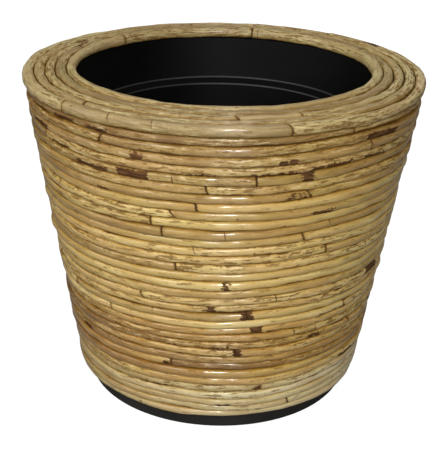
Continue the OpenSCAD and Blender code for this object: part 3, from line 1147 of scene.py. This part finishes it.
def pot_profile():
    """Section of the inner pot, up its inside, over the brim and back below, and the edges that get a
    painted highlight.
    """
    low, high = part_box("inner_pot")
    mouth_low, mouth_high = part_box("rim_cane_1")
    ring_d = mouth_high.z - mouth_low.z
    collar_r = mouth_high.x - ring_d + COLLAR_SETBACK
    floor_z = low.z + POT_FLOOR
    collar_foot = Vector((collar_r - COLLAR_DRAW, high.z - COLLAR_H))
    shoulder_foot = collar_foot - Vector((SHOULDER_W, SHOULDER_DROP))

    def inside(z):
        return shoulder_foot.x - (shoulder_foot.y - z) * math.tan(POT_LEAN)

    def brim(r):
        return high.z - (r - collar_r) * math.tan(RIM_FALL)

    def under_brim(r):
        return brim(r) - BRIM_T / math.cos(RIM_FALL)

    neck_r = collar_r + POT_WALL
    corners = [
        (Vector((0, floor_z)), 0),
        (Vector((inside(floor_z), floor_z)), FLOOR_ROUND),
        (shoulder_foot, SHOULDER_ROUND),
        (collar_foot, SHOULDER_ROUND),
        (Vector((collar_r, high.z)), MOUTH_ROUND),
        (Vector((high.x, brim(high.x))), BRIM_ROUND),
        (Vector((high.x, under_brim(high.x))), BRIM_ROUND),
        (Vector((neck_r, under_brim(neck_r))), NECK_ROUND),
        (collar_foot + Vector((POT_WALL, 0)), OUTER_ROUND),
        (shoulder_foot + Vector((POT_WALL, -POT_WALL)), OUTER_ROUND),
        (Vector((inside(low.z) + POT_WALL, low.z)), BASE_ROUND),
        (Vector((0, low.z)), 0),
    ]
    return rounded(corners), (shoulder_foot, collar_foot)


def dress_node(node, material):
    """Gives a CAD node a material."""
    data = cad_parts[node].data
    data.materials.clear()
    data.materials.append(material)


WHITE = (1, 1, 1, 1)
FLOOR_HALF = 8.0
FLOOR_GREY = (0.15, 0.15, 0.15, 1)
FLOOR_ROUGHNESS = 0.9
FLOOR_LIFT = 0.92
FLOOR_FADE = (1.0, 4.0)
SURROUND = 0.13
SURROUND_TINT = (1.0, 0.87, 0.64, 1)
# Lamps: name, place, width and height, watts, and whether a sheen shows it. A wide, low one in
# front, just right of the middle, two broad ones on the left, one above and a fill behind
LAMPS = (
    ("key", (0.09, -1.25, 0.74), (0.32, 0.13), 14, True),
    ("side", (-1.15, -1.45, 1.15), (1.0, 1.0), 18.5, True),
    ("left", (-1.85, -0.4, 1.0), (0.9, 0.9), 8.5, True),
    ("top", (0, 0.1, 2.2), (1.4, 1.4), 9, True),
    ("back", (0.7, 1.7, 1.4), (1.4, 1.4), 26, False),
)
AIM_AT = Vector((0, 0, 0.17))


def make_floor():
    """A wide floor that looks white, with a little less glow of its own where the lamps light it."""
    corners = [(x * FLOOR_HALF, y * FLOOR_HALF, 0) for x, y in ((-1, -1), (1, -1), (1, 1), (-1, 1))]
    data = bpy.data.meshes.new("floor")
    data.from_pydata(corners, [], [(0, 1, 2, 3)])
    floor = bpy.data.objects.new("floor", data)
    bpy.context.scene.collection.objects.link(floor)
    paint = Material("floor")
    where = paint.add("ShaderNodeTexCoord").outputs["Object"]
    distance = paint.add("ShaderNodeVectorMath", {0: where}, operation="LENGTH").outputs["Value"]
    lift = paint.math("MULTIPLY_ADD", paint.step(distance, *FLOOR_FADE), 1 - FLOOR_LIFT, FLOOR_LIFT)
    data.materials.append(paint.finish({
        "Base Color": FLOOR_GREY,
        "Roughness": FLOOR_ROUGHNESS,
        "Emission Color": WHITE,
        "Emission Strength": paint.math("MULTIPLY", paint.white_share(), lift),
    }))


def make_lamp(name, at, size, watts, sheen):
    """An oval lamp that is aimed at the middle of the part."""
    data = bpy.data.lights.new(name, "AREA")
    data.shape = "ELLIPSE"
    data.size, data.size_y = size
    data.energy = watts
    lamp = bpy.data.objects.new(name, data)
    lamp.visible_glossy = sheen
    lamp.location = at
    lamp.rotation_euler = (AIM_AT - Vector(at)).to_track_quat("-Z", "Y").to_euler()
    bpy.context.scene.collection.objects.link(lamp)


def make_world():
    """A surround that looks white, and lights the part with a little warm light."""
    world = bpy.data.worlds.new("surround")
    world.use_nodes = True
    surround = Nodes(world.node_tree)
    share = surround.white_share()
    strength = surround.add("ShaderNodeMapRange", {"Value": share, "To Min": SURROUND})
    background = surround.nodes["Background"]
    surround.put(background.inputs["Color"], surround.mix(share, SURROUND_TINT, WHITE))
    surround.put(background.inputs["Strength"], strength.outputs["Result"])
    bpy.context.scene.world = world


def main():
    """Dresses the whole part and sets the stage."""
    make_camera()
    rng = np.random.default_rng(SEED)
    walls, rims = wall_runs(rng), rim_runs(rng)
    mark_from_photo(walls, rims)
    materials = {slot: Cane(slot).lacquered() for slot in CANE_TONES}
    for run in walls + rims:
        mark_unseen(run, rng)
        make_cane(run, materials[run.slot], rng)
    moulding = lathe("inner_pot_moulding", *pot_profile())
    # The pot's black is darkened as painted shade of its hollow
    plastic = black_plastic("pot_plastic", POT_BLACK_PAINTED_SHADE)
    add_piece("inner_pot_moulding", moulding, plastic, "black_plastic", "inner_pot")
    # The tub's black is lightened as painted light from the floor's bounce
    dress_node("tub", black_plastic("tub_plastic", TUB_BLACK_PAINTED_LIGHT))
    steel = pin_steel()
    dress_node("wall_pins", steel)
    dress_node("rim_pins", steel)
    make_floor()
    for lamp in LAMPS:
        make_lamp(*lamp)
    make_world()
    bpy.context.scene.view_settings.view_transform = "Standard"


main()
